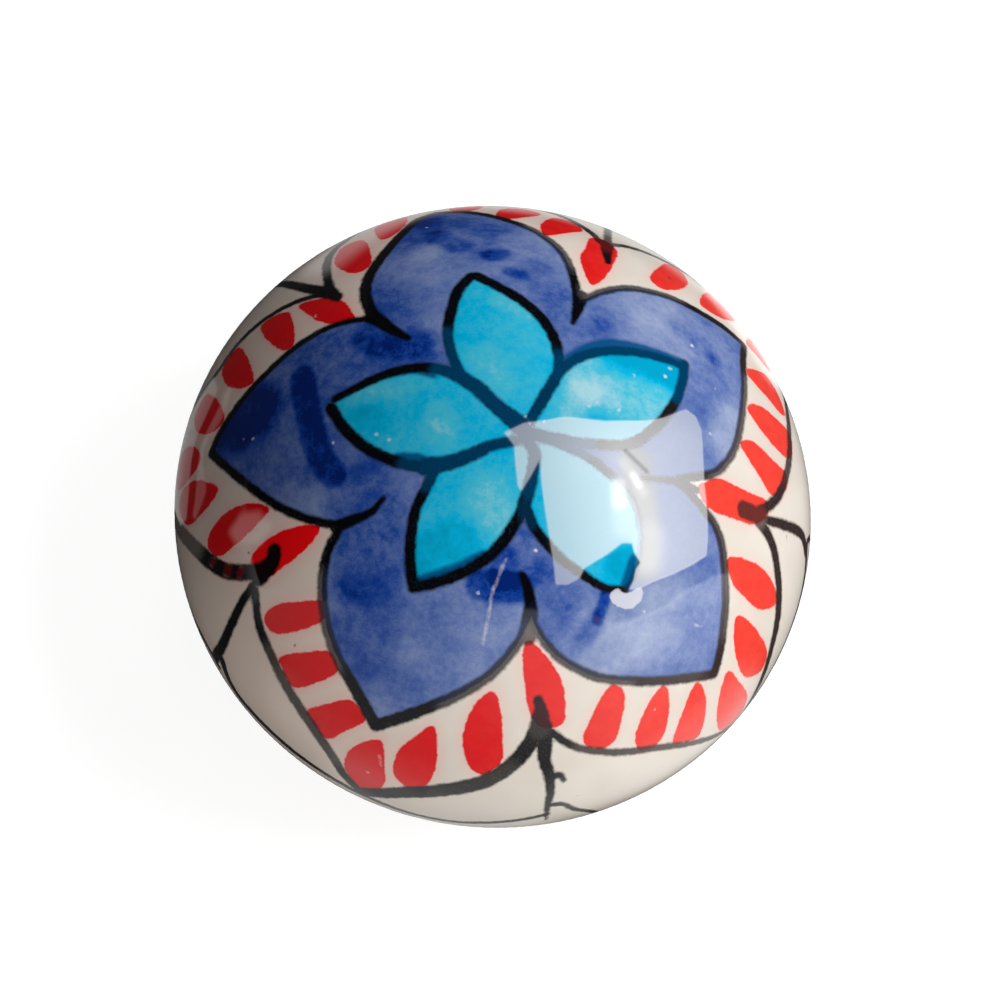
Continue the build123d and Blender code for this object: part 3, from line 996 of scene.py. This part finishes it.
window_depths = [
    ([(6.8, 0.6), (7.6, -0.6), (9.4, -3.6)], 1.0, 7.0, 4.5),
    ([(6.8, 0.6), (7.6, -0.6), (8.4, -2.2)], 0.6, 2.0, 1.8),
    ([(10.2, 2.4), (11.4, -0.5), (12.2, -2.2), (11.8, -4.4)], 2.6, 2.0, 0.9),
    ([(9.9, -3.2), (10.2, -4.4)], 0.6, 1.3, 2.6),
    ([(6.8, -1), (7.1, -1.9)], 0.4, 0.5, 7.0),
    ([(7.25, -2.1), (7.7, -3.4)], 0.4, 0.7, 1.4),
    ([(8.3, -1.3), (9.2, -3), (9.7, -4.8)], 0.9, 1.2, 1.3),
    ([(7.5, 0), (8, -0.4)], 0.15, 0.32, 5.5),
    ([(6.7, 0.5), (7.5, 0), (8.4, -0.7)], 0.2, 0.45, 2.2),
    ([(6.6, 1.3), (7.4, 0.95), (8.3, 0.6)], 0.12, 0.14, -5.5),
]
board_outline = [
    (-13.6, -12.9), (-9, -12.9), (-6, -12.6), (-3.2, -11.9), (0.6, -10.9), (2.5, -10.2), (4.4, -9.8),
    (7.2, -8.9), (9.3, -9), (10.8, -8.05), (12.2, -6.8), (13.3, -5.3), (15.4, -3.3), (17.5, -2.3), (20, -7),
    (19, -14), (16.5, -20), (11, -23.5), (0, -26), (-10.5, -22.8), (-15.5, -17),
]
board_depths = [
    ([(6, -12.5), (11.5, -13)], 3.0, 6.0, 0.5),
    ([(12.5, -7), (15, -6.5), (17, -5)], 3.0, 4.0, 1.9),
]
room_outline = [
    (16.4, -3.5), (17.6, -10), (14.6, -15.9), (9.4, -19.6), (0, -21.8), (-8.9, -19.2), (-13.8, -15.2),
    (-16, -9.5), (-16.4, -3.5), (-14.2, 4.7), (-8.2, 10.7), (0, 12.9), (8.2, 10.7), (14.2, 4.7),
]
room_depths = [
    ([(12.4, 19.9), (14.2, 18.2), (15.6, 16.9), (16.8, 15.8)], 1.4, 2.1, 1.25),
    ([(-17, 12.5), (-15, 16.5), (-12.5, 20), (-9, 22), (-4, 22.6), (1, 22.8), (6, 22), (9.5, 20.6)], 1.5,
     2.2, 0.55),
    ([(22, -10.8), (18, -15.8), (13, -20)], 2.0, 3.5, 0.9),
    ([(9, -25), (3, -27), (-4, -25.5)], 2.0, 4.0, 0.4),
    ([(11, -20.5), (6, -22.3), (0, -23.2), (-5.5, -22.2), (-10, -20)], 2.6, 2.4, 0.35),
]
outer_slip = [
    (-22.2, 0.9), (-22.4, 0), (-22.7, -1.3), (-23.1, -2.4), (-23.2, -3.6), (-23.1, -4.8), (-22.8, -6.1),
    (-22.6, -7.6), (-22.5, -9), (-23.5, -9.6), (-26.5, -7.6), (-27.5, -4), (-26, 0), (-23.5, 2.5),
]
inner_slip = [
    (-20.6, 1), (-20.5, -0.5), (-20.7, -1.7), (-21.3, -2.7), (-21.8, -3.9), (-21.4, -5.1), (-20.8, -6.2),
    (-20.5, -7), (-20.7, -7.9), (-21.2, -9.1), (-21.6, -8.8), (-21.6, -7.7), (-21.8, -6.1), (-22.1, -4.8),
    (-22.2, -3.7), (-22, -2.5), (-21.6, -1.4), (-21.2, -0.1), (-21.2, 1),
]
small_slip = [
    (-17.4, -9.7), (-16.6, -8.4), (-15.2, -8.1), (-13.9, -8.9), (-14.6, -10.2), (-16.6, -10.5),
]

# White sheet under the knob, square with the picture: its edges, from the axis, and the floor round it
sheet_left, sheet_right = -36.0, 38.0
sheet_front, sheet_back = -44.0, 43.0
sheet_height = -0.02
floor_height = -0.1
floor_radius = 2000.0


def flat_piece(name, corners, height, grey, glow, turn=0.0):
    """Matt grey piece of the stage that looks white, by a glow that puts no light on the knob."""
    piece = add_mesh(name, np.array([(x, y, 0) for x, y in corners]), [range(len(corners))])
    piece.location.z = height * MM
    piece.rotation_euler.z = turn
    shader = Shader(name)
    rays = shader.node("ShaderNodeLightPath").outputs
    seen = shader.sum(shader.sum(rays["Is Camera Ray"], rays["Is Glossy Ray"]), rays["Is Transmission Ray"])
    shader.feed(shader.surface, {
        "Base Color": (grey, grey, grey, 1), "Roughness": 1.0, "Specular IOR Level": 0.0,
        "Emission Color": (1, 1, 1, 1), "Emission Strength": shader.times(seen, glow)})
    piece.data.materials.append(shader.material)


def add_stage():
    bearing = np.radians(np.arange(0, 360, 3))
    rim = floor_radius * np.stack([np.cos(bearing), np.sin(bearing)], 1)
    flat_piece("floor", rim, floor_height, grey=0.45, glow=0.6)
    corners = [(sheet_left, sheet_front), (sheet_right, sheet_front), (sheet_right, sheet_back),
               (sheet_left, sheet_back)]
    flat_piece("sheet", corners, sheet_height, grey=0.3, glow=0.88, turn=camera_roll)


def add_lamp(name, direction, distance, size, power, colour=(1, 1, 1)):
    """Square lamp that faces the knob and doesn't show in its gloss, which has the cards."""
    data = bpy.data.lights.new(name, "AREA")
    data.size = size * MM
    data.energy = power
    data.color = colour
    lamp = add_object(name, data)
    direction = Vector(direction).normalized()
    lamp.location = direction * distance * MM
    lamp.rotation_euler = direction.to_track_quat("Z", "Y").to_euler()
    lamp.visible_camera = False
    lamp.visible_glossy = False


def add_world():
    """World that is pale to look at and dark in the gloss, as the room in the photo is."""
    pale, dark = 0.9, 0.01
    world = bpy.data.worlds.new("world")
    world.use_nodes = True
    tree = world.node_tree
    background = tree.nodes["Background"].inputs
    background["Color"].default_value = (1, 1, 1, 1)
    level = tree.nodes.new("ShaderNodeMapRange")
    level.inputs["To Min"].default_value = dark
    level.inputs["To Max"].default_value = pale
    rays = tree.nodes.new("ShaderNodeLightPath").outputs
    tree.links.new(rays["Is Camera Ray"], level.inputs["Value"])
    tree.links.new(level.outputs["Result"], background["Strength"])
    bpy.context.scene.world = world


painted_head()
threaded_bush()
add_camera()
add_stage()
add_world()
gloss_card("window_card", window_outline, window_depths, distance=400, strength=5.8, step=0.12)
gloss_card("board_card", board_outline, board_depths, distance=60, strength=0.3, edge=0.15)
gloss_card("room_card", room_outline, room_depths, distance=8, strength=0.03, edge=0.9, around=True)
gloss_card("outer_slip", outer_slip, distance=6, strength=0.38, edge=0.12)
gloss_card("inner_slip", inner_slip, distance=6, strength=0.35, edge=0.15)
gloss_card("small_slip", small_slip, distance=6, strength=1.0, edge=0.4)
add_lamp("window_lamp", (0.6, 0.23, 0.76), distance=400, size=250, power=1.56)
add_lamp("top_lamp", (-0.15, -0.1, 0.98), distance=450, size=300, power=0.36)
add_lamp("front_lamp", (0.4, -0.91, 0.09), distance=500, size=80, power=1.26, colour=(1, 0.98, 0.94))
add_lamp("back_lamp", (0.29, 0.94, 0.18), distance=500, size=120, power=0.78)
bpy.context.scene.view_settings.view_transform = "Standard"
